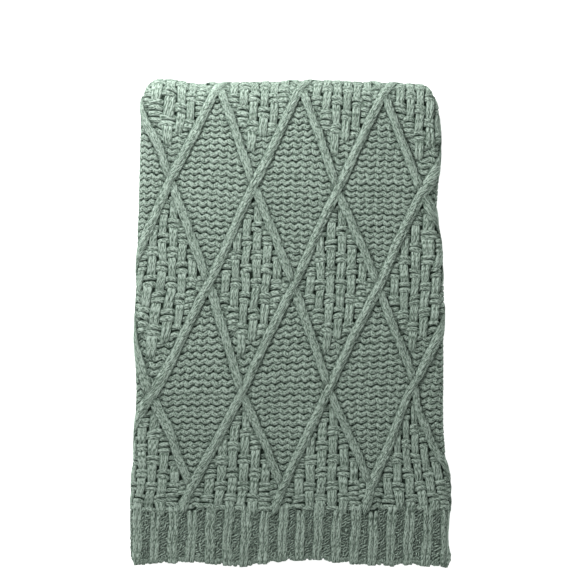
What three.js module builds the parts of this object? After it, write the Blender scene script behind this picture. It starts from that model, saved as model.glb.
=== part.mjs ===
// A chenille baby blanket, folded: its two long sides are folded behind the middle third, one over
// the other, and the long pack of three layers is then folded in half over its top end. The knitted
// cables and the ribbed border are raised in the face's points.
// Millimetres, +Z up. The blanket lies on z = 0, its fold towards +Y and its ribbed ends towards -Y.

import * as THREE from 'three';

// The cloth and its folds
const clothThickness = 7.0; // thick chenille yarn, about two strands deep
const layerGap = 0.8; // air between two layers that lie on each other
const innerBendGap = 2.4; // air inside the fold in half
const foldEndY = 249.0; // furthest reach of the fold in half
const castOnY = -251.0; // the knitted ends
const freeEdgeInset = 5.0; // the left third's free edge, from the right outline
const freeEdgeBulge = 1.6; // how round a free edge is

// The knitted pattern. Its own measures are diamond widths (wale) and half diamonds (course).
const columnsPerDiamond = 20;
const cableHeight = 3.0;
const cableHalfWidth = 0.055; // in diamond widths
const basketHeight = 0.8;
const ribsPerDiamond = 5;
const ribDepth = 3.0;
const ribTopCourse = -0.2;
const ribBlend = 0.1;

// Levels of the three layers, counted out from the middle of the whole pack
const layerPitch = clothThickness + layerGap;
const innerLevel = innerBendGap / 2 + clothThickness / 2;
const middleLevel = innerLevel + layerPitch;
const outerLevel = middleLevel + layerPitch;
const halfHeight = outerLevel + clothThickness / 2;
const bendStartY = foldEndY - halfHeight;
const straightRun = bendStartY - castOnY;
const bendRun = Math.PI * halfHeight;
const clothRun = 2 * straightRun + bendRun;

// Courses of the pattern, from one cast-on edge over the fold to the other: the course in half
// diamonds, how far along the outer face it lies, the x of wale 2, one diamond's width, and how
// far the course climbs for each diamond to the right.
const ribRun = 63;
const firstCrossing = 84.2;
const foldCrossing = 483.7;
const lastCrossing = clothRun - firstCrossing;
const backStep = (lastCrossing - foldCrossing) / 5;
const courses = [
  { course: -0.8, run: 0, centre: -12.0, diamond: 94.5, climb: 0 },
  { course: -0.2, run: ribRun, centre: -10.0, diamond: 94.3, climb: 3.0 },
  { course: 0, run: firstCrossing, centre: -10.1, diamond: 93.9, climb: 5.0 },
  { course: 1, run: 182.8, centre: -5.7, diamond: 90.6, climb: 4.5 },
  { course: 2, run: 290.1, centre: 3.3, diamond: 88.1, climb: -0.8 },
  { course: 3, run: 394.9, centre: 8.1, diamond: 86.7, climb: -5.2 },
  { course: 4, run: foldCrossing, centre: 12.8, diamond: 86.4, climb: -1.7 },
  { course: 5, run: foldCrossing + backStep, centre: 12.0, diamond: 86.6, climb: 0 },
  { course: 7, run: foldCrossing + 3 * backStep, centre: 4.0, diamond: 89.0, climb: 0 },
  { course: 9, run: lastCrossing, centre: -8.0, diamond: 93.0, climb: 0 },
  { course: 9.2, run: clothRun - ribRun, centre: -8.0, diamond: 93.5, climb: 0 },
  { course: 9.8, run: clothRun, centre: -8.0, diamond: 93.5, climb: 0 },
];

// Where the folded sides lie along the outer face, as uneven as a real pack
const sides = [
  { run: 0, left: -161.0, right: 159.5 },
  { run: 6, left: -163.5, right: 162.0 },
  { run: 30, left: -163.6, right: 162.8 },
  { run: 61, left: -163.4, right: 164.8 },
  { run: 77, left: -163.5, right: 166.6 },
  { run: 93, left: -163.6, right: 164.8 },
  { run: 108, left: -163.4, right: 161.7 },
  { run: 139, left: -162.6, right: 158.6 },
  { run: 186, left: -160.7, right: 157.6 },
  { run: 233, left: -162.4, right: 158.6 },
  { run: 264, left: -161.4, right: 160.4 },
  { run: 327, left: -160.7, right: 158.6 },
  { run: 342, left: -158.8, right: 156.3 },
  { run: 358, left: -158.1, right: 152.8 },
  { run: 378, left: -157.6, right: 151.6 },
  { run: 420, left: -156.5, right: 155.2 },
  { run: 462, left: -155.5, right: 155.2 },
  { run: 482, left: -153.4, right: 152.4 },
  { run: 491, left: -152.2, right: 149.0 },
  { run: 504, left: -150.0, right: 141.5 },
  { run: 514, left: -148.2, right: 138.5 },
  { run: 524, left: -150.0, right: 141.5 },
  { run: 537, left: -152.4, right: 148.6 },
  { run: 550, left: -154.0, right: 151.5 },
  { run: 640, left: -156.0, right: 150.0 },
  { run: 760, left: -159.5, right: 154.5 },
  { run: 870, left: -160.8, right: 155.6 },
  { run: 925, left: -164.5, right: 158.5 },
  { run: 935, left: -166.6, right: 159.5 },
  { run: 1005, left: -166.9, right: 161.5 },
  { run: 1018, left: -166.8, right: 165.4 },
  { run: 1028, left: -164.5, right: 163.0 },
];

// How far the fold in half and the cast-on edge stand out past their middle line
const endWaves = [
  { x: -152, fold: 2.0, castOn: -1.0 },
  { x: -136, fold: 2.0, castOn: 0.6 },
  { x: -108, fold: -1.0, castOn: 2.9 },
  { x: -94, fold: -2.2, castOn: 1.2 },
  { x: -63, fold: -0.5, castOn: -1.0 },
  { x: -40, fold: 0.7, castOn: 0.0 },
  { x: -19, fold: 0.8, castOn: 2.1 },
  { x: 10, fold: 1.2, castOn: 4.6 },
  { x: 35, fold: 1.6, castOn: 4.6 },
  { x: 62, fold: -1.0, castOn: 0.6 },
  { x: 97, fold: -0.8, castOn: -1.5 },
  { x: 125, fold: -2.2, castOn: -0.5 },
  { x: 147, fold: -4.6, castOn: -2.0 },
  { x: 160, fold: -5.0, castOn: 0.0 },
];
const foldWaveStartY = 120.0;

// How much lower the pack settles than its layers stacked square
const ribSettle = 0.08;
const ribSettleReach = 150.0;
const waveSettle = 0.013;
const waveLengthX = 260.0;
const waveLengthY = 330.0;

// A folded side's face grows plain where it turns under the pack, in radians from its top
const turnReliefStart = 0.4 * Math.PI;
const turnReliefEnd = 0.8 * Math.PI;

// How finely the cloth is divided
const courseStep = 0.1;
const lastFineCourse = 4.8;
const ribCourses = [-0.8, -0.6, -0.4, -0.25, -0.15, -0.08];
const backCourses = [5.6, 6.8, 8.1, 9.2, 9.8];
const leftTurnSteps = 6;
const rightTurnSteps = 4;
const waleStep = 1 / columnsPerDiamond;
const waleMargin = 0.25 * waleStep;

// The value of one column of a table at a place between two of its rows
function read(table, key, place, column) {
  let i = 1;
  while (i < table.length - 1 && table[i][key] < place) i += 1;
  const low = table[i - 1];
  const high = table[i];
  const share = THREE.MathUtils.clamp((place - low[key]) / (high[key] - low[key]), 0, 1);
  return THREE.MathUtils.lerp(low[column], high[column], share);
}

const rampUp = (value, from, to) => THREE.MathUtils.smoothstep(value, from, to);
const toWhole = (value) => Math.abs(value - Math.round(value));

// Height of the knitted face over the plain cloth at a wale and a course. Cables are the lines
// where wale - course / 2 or wale + course / 2 is whole. Every other row of the diamonds between
// them is basket weave, which stands a little higher. Ribs run along the wales.
function relief(wale, course) {
  const rising = toWhole(wale - course / 2);
  const falling = toWhole(wale + course / 2);
  const nearest = Math.min(rising, falling);
  const cable = cableHeight * Math.exp(-((nearest / cableHalfWidth) ** 2));
  const isBasket = (Math.floor(wale + course / 2) - Math.floor(wale - course / 2)) % 2 === 0;
  const basket = isBasket ? basketHeight * rampUp(nearest, 0.02, 0.12) : 0;
  const rib = -ribDepth * Math.sin(Math.PI * wale * ribsPerDiamond) ** 4;
  const inRib = 1 - rampUp(course, ribTopCourse - ribBlend, ribTopCourse + ribBlend);
  const onBack = rampUp(course, 4.45, 4.7);
  return ((cable + basket) * (1 - inRib) + rib * inRib) * (1 - onBack);
}

// A point of the pack from its x, its level out from the middle of the pack, and how far along the
// outer face it lies: straight, half round the fold, and straight back.
function place(x, level, run) {
  let y = castOnY + run;
  let z = halfHeight + level;
  if (run > straightRun + bendRun) {
    y = castOnY + clothRun - run;
    z = halfHeight - level;
  } else if (run > straightRun) {
    const angle = (run - straightRun) / halfHeight;
    y = bendStartY + level * Math.sin(angle);
    z = halfHeight + level * Math.cos(angle);
  }
  const castOnShare = 1 - rampUp(y, castOnY, castOnY + ribRun);
  y += read(endWaves, 'x', x, 'castOn') * castOnShare;
  y += read(endWaves, 'x', x, 'fold') * rampUp(y, foldWaveStartY, foldEndY);
  const waves = waveSettle * Math.sin((2 * Math.PI * x) / waveLengthX + 1) * Math.cos((2 * Math.PI * y) / waveLengthY);
  const settle = ribSettle * (1 - rampUp(y, castOnY, castOnY + ribSettleReach)) + waves;
  return new THREE.Vector3(x, y, z * (1 - settle));
}

// One course of the cloth as a closed ring of points. It runs along the outer face from the left
// third's free edge, round the left side, over the middle third and round the right side to the
// right third's free edge, and back along the inner face. The wales in between are counted apart,
// because their number changes as the pattern drifts across the folded sides.
function makeCourse(course, isFine) {
  const row = (column) => read(courses, 'course', course, column);
  const [run, centre, diamond, climb] = ['run', 'centre', 'diamond', 'climb'].map(row);
  const left = read(sides, 'run', run, 'left');
  const right = read(sides, 'run', run, 'right');
  const half = clothThickness / 2;
  const leftTurnX = left + half + layerPitch;
  const rightTurnX = right - half - layerPitch / 2;
  const rightTurnLevel = (outerLevel + middleLevel) / 2;
  const firstWale = 2 + (leftTurnX - centre) / diamond;
  const lastWale = 2 + (rightTurnX - centre) / diamond;
  const freeEdgeX = right - freeEdgeInset;
  const point = (x, level, wale) => {
    const across = THREE.MathUtils.clamp(wale - 2, -2, 2);
    return { at: place(x, level, run + climb * across), wale, course };
  };
  const turn = (steps, centreX, centreLevel, radius, side, offset) => {
    const points = [];
    for (let i = 0; i <= steps; i += 1) {
      const angle = (Math.PI * i) / steps;
      const edgeWale = side < 0 ? firstWale : lastWale;
      const wale = edgeWale + (side * radius * angle) / diamond;
      const outside = offset > 0 && isFine ? 1 - rampUp(angle, turnReliefStart, turnReliefEnd) : 0;
      const reach = radius + offset + outside * relief(wale, course);
      const x = centreX + side * reach * Math.sin(angle);
      points.push(point(x, centreLevel + reach * Math.cos(angle), wale));
    }
    return side < 0 ? points.reverse() : points;
  };
  const leftTurn = (offset) => turn(leftTurnSteps, leftTurnX, middleLevel, layerPitch, -1, offset);
  const rightTurn = (offset) => turn(rightTurnSteps, rightTurnX, rightTurnLevel, layerPitch / 2, 1, offset);
  const start = [
    point(freeEdgeX + freeEdgeBulge, innerLevel, -2),
    point(freeEdgeX, innerLevel - half, -2),
    ...leftTurn(half),
  ];
  const wales = [];
  const firstColumn = Math.ceil((firstWale + waleMargin) / waleStep);
  const lastColumn = Math.floor((lastWale - waleMargin) / waleStep);
  const columnStride = isFine ? 1 : columnsPerDiamond;
  for (let i = firstColumn; i <= lastColumn; i += columnStride) {
    const wale = i * waleStep;
    const height = isFine ? relief(wale, course) : 0;
    wales.push(point(centre + diamond * (wale - 2), outerLevel + half + height, wale));
  }
  const end = [
    ...rightTurn(half),
    point(leftTurnX, middleLevel - half, 6),
    point(leftTurnX - freeEdgeBulge, middleLevel, 6),
    point(leftTurnX, middleLevel + half, 6),
    ...rightTurn(-half).reverse(),
    ...leftTurn(-half).reverse(),
    point(freeEdgeX, innerLevel + half, -2),
  ];
  return { start, wales, end };
}

// The blanket's closed surface: one band of triangles between each course and the next, and one
// cap at each cast-on edge.
function makeBlanket() {
  const positions = [];
  const index = [];
  const addRing = (parts) => {
    const all = [...parts.start, ...parts.wales, ...parts.end];
    all.forEach((one) => {
      one.id = positions.length / 3;
      positions.push(one.at.x, one.at.y, one.at.z);
    });
    return { ...parts, all };
  };
  const fineCourses = [];
  for (let i = 0; i * courseStep < lastFineCourse + courseStep / 2; i += 1) fineCourses.push(i * courseStep);
  const rings = [
    ...ribCourses.map((course) => makeCourse(course, true)),
    ...fineCourses.map((course) => makeCourse(course, true)),
    ...backCourses.map((course) => makeCourse(course, false)),
  ].map(addRing);

  // A face across two rings of the same count, one square at a time
  const addSquares = (below, above) => {
    for (let i = 0; i + 1 < below.length; i += 1) {
      index.push(below[i].id, below[i + 1].id, above[i + 1].id, below[i].id, above[i + 1].id, above[i].id);
    }
  };

  // How far an edge between two points would leave the knitted face at its middle
  const misfit = (one, other) => {
    const wale = (one.wale + other.wale) / 2;
    const course = (one.course + other.course) / 2;
    const middle = (relief(one.wale, one.course) + relief(other.wale, other.course)) / 2;
    const stretch = Math.max(0, Math.abs(one.wale - other.wale) - 1.01 * waleStep);
    return Math.abs(relief(wale, course) - middle) + 1000 * stretch;
  };

  // A face between two courses with any number of wales: it steps along whichever course leaves
  // the cables straight, so that they run along edges.
  const addWales = (below, above) => {
    let i = 0;
    let j = 0;
    while (i + 1 < below.length || j + 1 < above.length) {
      const canBelow = i + 1 < below.length;
      const canAbove = j + 1 < above.length;
      const stepBelow = canBelow && (!canAbove || misfit(below[i + 1], above[j]) <= misfit(below[i], above[j + 1]));
      if (stepBelow) {
        index.push(below[i].id, below[i + 1].id, above[j].id);
        i += 1;
      } else {
        index.push(below[i].id, above[j + 1].id, above[j].id);
        j += 1;
      }
    }
  };

  for (let r = 0; r + 1 < rings.length; r += 1) {
    const [below, above] = [rings[r], rings[r + 1]];
    addSquares(below.start, above.start);
    addWales([below.start.at(-1), ...below.wales, below.end[0]], [above.start.at(-1), ...above.wales, above.end[0]]);
    addSquares([...below.end, below.start[0]], [...above.end, above.start[0]]);
  }

  const addCap = (ring) => {
    const outline = ring.all.map((one) => new THREE.Vector2(one.at.x, one.at.z));
    THREE.ShapeUtils.triangulateShape(outline, []).forEach(([a, b, c]) => {
      const ids = [a, b, c].map((i) => ring.all[i].id);
      const area = (outline[b].x - outline[a].x) * (outline[c].y - outline[a].y)
        - (outline[c].x - outline[a].x) * (outline[b].y - outline[a].y);
      index.push(...(area > 0 ? ids : ids.reverse()));
    });
  };
  addCap(rings[0]);
  addCap(rings.at(-1));

  const geometry = new THREE.BufferGeometry();
  geometry.setAttribute('position', new THREE.Float32BufferAttribute(positions, 3));
  geometry.setIndex(index);
  geometry.computeBoundingBox();
  const middle = geometry.boundingBox.getCenter(new THREE.Vector3());
  geometry.translate(-middle.x, -middle.y, -geometry.boundingBox.min.z);
  geometry.computeVertexNormals();
  return geometry;
}

const chenille = new THREE.MeshStandardMaterial({ color: 0x82988a, roughness: 0.95, metalness: 0 });
const blanket = new THREE.Mesh(makeBlanket(), chenille);
blanket.name = 'blanket';

const group = new THREE.Group();
group.add(blanket);

export default group;
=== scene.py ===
"""A chenille baby blanket, knitted and folded.

The cloth is one knitted panel. Its own measures are wales, counted in diamond widths across, and
courses, counted in half diamonds up from the first crossing of the cables. lay_cloth puts a point of
that flat knit where it lies in the folded pack, and every strand of yarn is a tube laid by it.
"""

import math

import bpy
import numpy as np
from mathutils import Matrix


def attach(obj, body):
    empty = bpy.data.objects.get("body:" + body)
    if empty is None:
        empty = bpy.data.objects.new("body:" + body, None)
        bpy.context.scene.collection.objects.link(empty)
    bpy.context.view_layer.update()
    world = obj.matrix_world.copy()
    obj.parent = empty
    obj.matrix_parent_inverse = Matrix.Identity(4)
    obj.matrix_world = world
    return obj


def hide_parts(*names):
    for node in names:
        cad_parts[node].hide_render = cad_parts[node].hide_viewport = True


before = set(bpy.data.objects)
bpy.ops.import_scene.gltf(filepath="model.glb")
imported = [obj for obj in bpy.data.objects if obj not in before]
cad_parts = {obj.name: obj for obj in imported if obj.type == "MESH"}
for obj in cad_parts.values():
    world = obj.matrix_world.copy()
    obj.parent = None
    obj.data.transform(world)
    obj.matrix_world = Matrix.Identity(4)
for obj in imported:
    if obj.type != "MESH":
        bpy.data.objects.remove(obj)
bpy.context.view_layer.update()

MM = 0.001
rng = np.random.default_rng(11)

# The cloth and its folds: thirds, and then in half
CLOTH = 7.0 * MM
LAYER_GAP = 0.8 * MM
INNER_BEND_GAP = 2.4 * MM
FOLD_END_Y = 249.0 * MM
CAST_ON_Y = -251.0 * MM
FREE_EDGE_INSET = 5.0 * MM

# Heights of the three layers' outer faces over the middle of the pack, and what follows from them
PITCH = CLOTH + LAYER_GAP
INNER = INNER_BEND_GAP / 2 + CLOTH / 2
MIDDLE = INNER + PITCH
OUTER = MIDDLE + PITCH
HALF_HEIGHT = OUTER + CLOTH / 2
BEND_Y = FOLD_END_Y - HALF_HEIGHT
STRAIGHT_RUN = BEND_Y - CAST_ON_Y
BEND_RUN = math.pi * HALF_HEIGHT
CLOTH_RUN = 2 * STRAIGHT_RUN + BEND_RUN
LEFT_TURN = PITCH + CLOTH / 2
RIGHT_TURN = PITCH / 2 + CLOTH / 2

# Runs along the outer face where the ribs end and the cables cross, in millimetres
RIB_RUN = 63.0
FIRST_CROSSING = 80.0
FOLD_CROSSING = 494.0
LAST_CROSSING = CLOTH_RUN / MM - FIRST_CROSSING
BACK_STEP = (LAST_CROSSING - FOLD_CROSSING) / 5

# Columns, in millimetres after the first: course, run along the outer face, x of the middle wale,
# one diamond's width, climb of a course for each diamond
RUN, MIDDLE_X, DIAMOND_X, CLIMB = 1, 2, 3, 4
COURSES = np.array([
    (-1.0, -RIB_RUN / 3, -12.6, 94.5, 0.0),
    (-0.8, 0.0, -12.6, 94.5, 0.0),
    (-0.2, RIB_RUN, -9.6, 94.3, 0.0),
    (0.0, FIRST_CROSSING, -8.5, 92.3, 0.3),
    (1.0, 181.0, -5.7, 90.6, 4.2),
    (2.0, 290.8, 3.3, 88.1, -1.5),
    (3.0, 392.2, 5.4, 86.7, -4.6),
    (4.0, FOLD_CROSSING, 11.4, 86.1, -4.5),
    (5.0, FOLD_CROSSING + BACK_STEP, 10.5, 86.6, -2.0),
    (7.0, FOLD_CROSSING + 3 * BACK_STEP, 4.0, 89.0, 0.0),
    (9.0, LAST_CROSSING, -8.0, 93.0, 0.0),
    (9.2, CLOTH_RUN / MM - RIB_RUN, -8.0, 93.5, 0.0),
    (9.8, CLOTH_RUN / MM, -8.0, 93.5, 0.0),
    (10.0, CLOTH_RUN / MM + RIB_RUN / 3, -8.0, 93.5, 0.0),
])
MIDDLE_WALE = 2
CLIMB_REACH = 2

# Columns, in millimetres: run along the outer face, x of the left fold, x of the right fold
LEFT_X, RIGHT_X = 1, 2
SIDES = np.array([
    (0, -162.0, 163.0), (6, -164.6, 165.6), (12, -165.2, 165.4), (20, -165.3, 163.0),
    (30, -165.2, 162.4), (61, -165.3, 164.8), (77, -166.5, 166.6), (93, -166.0, 165.0),
    (108, -164.2, 161.5), (139, -162.6, 159.4), (186, -161.0, 159.4), (233, -162.6, 159.6),
    (264, -161.2, 160.0), (327, -160.0, 158.6), (342, -159.8, 156.3), (358, -158.9, 153.2),
    (378, -158.3, 152.2), (420, -157.2, 155.4), (445, -156.6, 156.4), (462, -156.2, 156.6),
    (482, -153.8, 154.6), (491, -152.4, 152.4), (504, -150.0, 148.6),
    (514, -148.6, 145.5), (524, -150.0, 146.5), (537, -152.4, 149.6), (550, -154.0, 151.5),
    (640, -156.0, 150.0), (760, -159.5, 154.5), (870, -160.8, 155.6), (925, -164.5, 158.5),
    (935, -166.6, 159.5), (1005, -166.9, 161.5), (1018, -166.8, 165.4), (1028, -164.5, 163.0),
])

# Columns, in millimetres: x, how far the fold in half stands out there, how far the cast-on edge
# stands in
FOLD_WAVE, EDGE_WAVE = 1, 2
END_WAVES = np.array([
    (-152, 3.6, 0.5), (-144, 4.6, 2.4), (-136, 5.6, 1.6), (-120, 4.6, 0.8), (-108, 2.0, 1.9),
    (-94, 0.3, 1.2), (-63, 1.5, -1.0), (-40, 2.7, 0.0), (-19, 2.8, 2.1), (0, 3.3, 2.6),
    (10, 3.6, 3.4), (35, 4.2, 4.4), (50, 3.8, 3.4), (62, 3.0, 2.4), (80, 2.0, -0.2),
    (97, 1.5, -1.5), (125, 0.6, -1.3), (147, -1.2, -2.2), (160, -1.6, -1.6),
])
FOLD_WAVE_START_Y = 120.0 * MM

# Columns, in millimetres: run where a pull begins, is full, fades and ends, x where it begins and is
# full, its size
PULLS = np.array([
    (40, 80, 110, 150, -60, -110, -3.0), (100, 150, 260, 320, -120, -155, -6.0),
    (415, 462, 510, 580, -116, -146, -7.0), (65, 125, 150, 200, 95, 152, -9.0),
    (300, 340, 425, 470, 132, 152, 7.0),
])

# Columns: size of a drift, its phase for each wale and for each course, its start
WALE_DRIFTS = ((0.006, 7.1, 2.3, 1.0), (0.003, 17.0, -9.0, 0.0))
COURSE_DRIFTS = ((0.010, 5.3, -3.1, 0.0), (0.004, 19.0, 11.0, 2.0))

# How much lower the pack settles than its layers stacked square
RIB_SETTLE = 0.08
RIB_SETTLE_REACH = 150.0 * MM
WAVE_SETTLE = 0.013
WAVE_LENGTH_X = 260.0 * MM
WAVE_LENGTH_Y = 330.0 * MM
WAVE_START = 1.0

# The relief under the pack, round its folds and where ribs turn under, and where the ribs fade out
UNDER_SINK = 1.0 * MM
SIDE_STRETCH = 0.45
END_STRETCH = 0.45
RIB_FULLNESS = 2.0 * MM
RIB_FADE = 12.0

# The flat knit that the yarn is shaped in. Places on it are in wales and courses.
DIAMOND = 88.4 * MM
HALF_DIAMOND = 103.0 * MM
FIRST_COURSE = -0.8
LAST_COURSE = 9.8
RIB_TOP = -0.27
BACK_RIB_TOP = 9.2
LAST_CABLE_COURSE = 9
UPPER_END = 4.75
SEEN_TURN = 0.8

# Yarn, and the painted light and shade in its colour
YARN_GIRTH = 17.0 * MM
YARN_ROUGHNESS = 0.03
SQUARENESS = 0.56
STREAK_SHIFT = 0.37
DARK_DEPTH, LIT_DEPTH = -6.0 * MM, -1.5 * MM
DARK_SIDE, LIT_SIDE = -0.05, 0.75
RISING, FALLING = -0.5, 0.5
CABLE_EDGE = 5.2 * MM
CABLE_SHADE = 0.58
CABLE_SHADE_REACH = 1.0 * MM
TIP_SHADE = 0.50

# Purl courses
ROWS_PER_COURSE = 16
PURLS_PER_DIAMOND = 9
PURL_OVERLAP = 0.04
CABLE_GAP = 0.02
FOOT_RUN_ON = 0.04

# Basket weave
BASKET_COLUMN = 0.1224
BASKET_PERIOD = 0.283
BASKET_ROWS = 5
BAR_ROW = 3
BAR_REACH = 0.84
LOWER_BAR_REACH = 0.72
STRAND_REACH = 0.97
BASKET_DEPTH = 0.48
BARS_END = 0.70
SHORT_BAR_COURSE = RIB_TOP + 0.03

# Cables: each pair is for a rising cable or a stem, and for a falling one, in millimetres but for
# the last
LEGS_PER_EDGE = 13
LEG_LENGTH = 16.0 * MM
CROSSING_REACH = 0.042
STEM_LEAN = 0.25
CHAIN_SPREAD = (2.6, 2.2)
CHAIN_WIDTH = (2.45, 2.15)
CABLE_HEIGHT = (-0.9, -0.3)
CROSSING_HEIGHT = (0.6, -2.8)
CROSSING_NARROWS = (0.05, 0.15)

# Courses where a falling cable, a stem and a rising cable begin
CABLE_ENDS = (0.0, -0.22, -0.04)

# Columns: side of a chain, where its first leg lies, how far a leg leans, how far it stands out
CHAINS = ((-1, 0.75, 0.5, 0.0), (0, 0.08, 1.1, 0.5), (1, 0.42, 0.5, 0.0))

# Ribs
RIBS_PER_DIAMOND = 5
RIB_SHIFT = 0.028
SHORT_RIB = 0.49
CHANNEL_LANES = 4

# Columns: half of the pack, steps along a purl, a bar, a cross strand, a cable's leg and a rib's leg,
# sides of their tubes, rows of a rib's channel apart
DETAIL = (
    ("upper", 8, 9, 8, 8, 7, 6, 0.030),
    ("lower", 5, 7, 6, 6, 5, 5, 0.036),
)

# Colours of the finish, and the scales of its grain with how much each changes the tone
DEEP_SAGE = (0.110, 0.158, 0.122, 1)
SAGE = (0.338, 0.426, 0.357, 1)
PALE_SAGE = (0.455, 0.562, 0.486, 1)
# Colour of the deepest painted shade, and white where no shade is painted, also the floor's glow and the
# sky
SHADOW_GREEN = (0.0, 0.04, 0.012, 1)
FULL_LIGHT = (1.0, 1.0, 1.0, 1)
SHEEN_TINT = (0.60, 0.86, 0.70, 1)
STREAKS, STREAK_SWING = (130, 850, 1), 0.20
FIBRES, FIBRE_SWING = (420, 1250, 1), 0.65
SPECKS, SPECK_SWING = 980.0, 0.24
CLOUDS, CLOUD_SWING = 22.0, 0.05
SHADE_SWING = 0.03
YARN_SLANT = 0.22
BUMP = 1.1 * MM

# Camera, floor and light
PHOTO_WIDTH = 0.599
PHOTO_CENTRE = (-2.6 * MM, 36.1 * MM)
TOP_OF_PACK = 45.0 * MM
CAMERA_DISTANCE = 5.0
SENSOR = 36.0
FLOOR_REACH = 6.0
FLOOR_DROP = 0.2 * MM
SKY = 0.387


def smooth(value, low, high):
    """Rises from 0 at low to 1 at high as 3t squared less 2t cubed."""
    t = np.clip((value - low) / (high - low), 0, 1)
    return t * t * (3 - 2 * t)


def column(table, place, index):
    """A table's column at any place of its first column, straight between its rows."""
    return np.interp(place, table[:, 0], table[:, index])


def jitter(count, size):
    """A small random amount for each of so many strands."""
    return rng.normal(0, size, (count, 1))


def pull(x, run):
    """How far folding has pulled the cloth sideways at a place, all in millimetres: the sum of smooth
    pulls, each over a stretch of the run and rising towards one side."""
    total = 0
    for begin, full, fade, end, inner_x, outer_x, size in PULLS:
        along = smooth(run, begin, full) * (1 - smooth(run, fade, end))
        total = total + size * along * smooth(x, inner_x, outer_x)
    return total


def side_folds(course):
    """The wales where the middle third turns under on the left and on the right."""
    run, middle_x, diamond = (column(COURSES, course, k) for k in (RUN, MIDDLE_X, DIAMOND_X))
    left_x = column(SIDES, run, LEFT_X) + LEFT_TURN / MM
    right_x = column(SIDES, run, RIGHT_X) - RIGHT_TURN / MM
    left_x, right_x = left_x - pull(left_x, run), right_x - pull(right_x, run)
    return MIDDLE_WALE + (left_x - middle_x) / diamond, MIDDLE_WALE + (right_x - middle_x) / diamond


def uneven(wale, course):
    """Small drifts of a hand-finished knit: two crossed waves a few stitches long on each measure."""
    def drift(waves):
        return sum(size * np.sin(a * wale + b * course + start) for size, a, b, start in waves)

    return wale + drift(WALE_DRIFTS), course + drift(COURSE_DRIFTS)


def lay_cloth(wale, course, height):
    """Where a point of the flat knit lies in the folded pack, height being out from the face.

    Between the side folds x follows the wale. Past a side fold the point runs round a half circle
    and back under the middle third. Along the cloth it runs straight, half round the fold in half
    and straight back. Round every fold the relief stretches flatter. The pack then settles, and its
    ends wave.
    """
    wale, course = uneven(wale, course)
    run, middle_x, diamond, climb = (
        column(COURSES, course, k) * MM for k in (RUN, MIDDLE_X, DIAMOND_X, CLIMB)
    )
    left_x = column(SIDES, run / MM, LEFT_X) * MM + LEFT_TURN
    right_x = column(SIDES, run / MM, RIGHT_X) * MM - RIGHT_TURN
    x_flat = middle_x + diamond * (wale - MIDDLE_WALE)
    x_flat = x_flat + pull(x_flat / MM, run / MM) * MM
    past_left = np.maximum(left_x - x_flat, 0)
    past_right = np.maximum(x_flat - right_x, 0)
    left_angle = np.minimum(past_left / LEFT_TURN, math.pi)
    right_angle = np.minimum(past_right / RIGHT_TURN, math.pi)
    run = run + climb * np.clip(wale - MIDDLE_WALE, -CLIMB_REACH, CLIMB_REACH)
    bend = np.clip((run - STRAIGHT_RUN) / HALF_HEIGHT, 0, math.pi)
    facing_down = np.maximum(-np.cos(bend) * np.cos(left_angle + right_angle), 0)
    turned = np.sin(left_angle + right_angle) ** 2
    in_rib = 1 - smooth(run, RIB_RUN * MM, (RIB_RUN + RIB_FADE) * MM)
    height = height * (1 - SIDE_STRETCH * turned) * (1 - END_STRETCH * np.sin(bend) ** 2)
    height = height + RIB_FULLNESS * turned * in_rib - UNDER_SINK * facing_down
    x = np.clip(x_flat, left_x, right_x)
    x = x - (LEFT_TURN + height) * np.sin(left_angle) + np.maximum(past_left - math.pi * LEFT_TURN, 0)
    x = x + (RIGHT_TURN + height) * np.sin(right_angle) - np.maximum(past_right - math.pi * RIGHT_TURN, 0)
    left_level = MIDDLE + (LEFT_TURN + height) * np.cos(left_angle)
    right_level = (OUTER + MIDDLE) / 2 + (RIGHT_TURN + height) * np.cos(right_angle)
    level = np.where(past_left > 0, left_level, right_level)
    back = np.maximum(run - STRAIGHT_RUN - BEND_RUN, 0)
    y = BEND_Y + level * np.sin(bend) - np.maximum(STRAIGHT_RUN - run, 0) - back
    z = HALF_HEIGHT + level * np.cos(bend)
    at_cast_on = 1 - smooth(y, CAST_ON_Y, CAST_ON_Y + RIB_RUN * MM)
    y = y + column(END_WAVES, x / MM, EDGE_WAVE) * MM * at_cast_on
    y = y + column(END_WAVES, x / MM, FOLD_WAVE) * MM * smooth(y, FOLD_WAVE_START_Y, FOLD_END_Y)
    waves = np.sin(2 * math.pi * x / WAVE_LENGTH_X + WAVE_START) * np.cos(2 * math.pi * y / WAVE_LENGTH_Y)
    settle = RIB_SETTLE * (1 - smooth(y, CAST_ON_Y, CAST_ON_Y + RIB_SETTLE_REACH)) + WAVE_SETTLE * waves
    return np.stack([x, y, np.maximum(z * (1 - settle), 0.0)], axis=-1)


# Yarn


def rounded(value):
    """Pushes a cosine or sine towards its ends, by a power of its size, so that a ring gets squarer."""
    return np.sign(value) * np.abs(value) ** SQUARENESS


def beside_cables(wale, course, kinds=(RISING, FALLING)):
    """Painted shade near a cable: how much light is painted on the cloth there, least along the cable's
    edge.

    The rising cables are where wale less half the course is whole, and the falling ones where wale
    and half the course add up to a whole number.
    """
    slope = HALF_DIAMOND / math.hypot(HALF_DIAMOND, DIAMOND / 2)
    light = np.ones_like(wale)
    for turn in kinds:
        place = wale + turn * course
        distance = np.abs(place - np.round(place)) * DIAMOND * slope
        light = light * (1 - CABLE_SHADE * np.exp(-(((distance - CABLE_EDGE) / CABLE_SHADE_REACH) ** 2)))
    return np.where((course > 0) & (course < LAST_CABLE_COURSE), light, 1.0)


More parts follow.
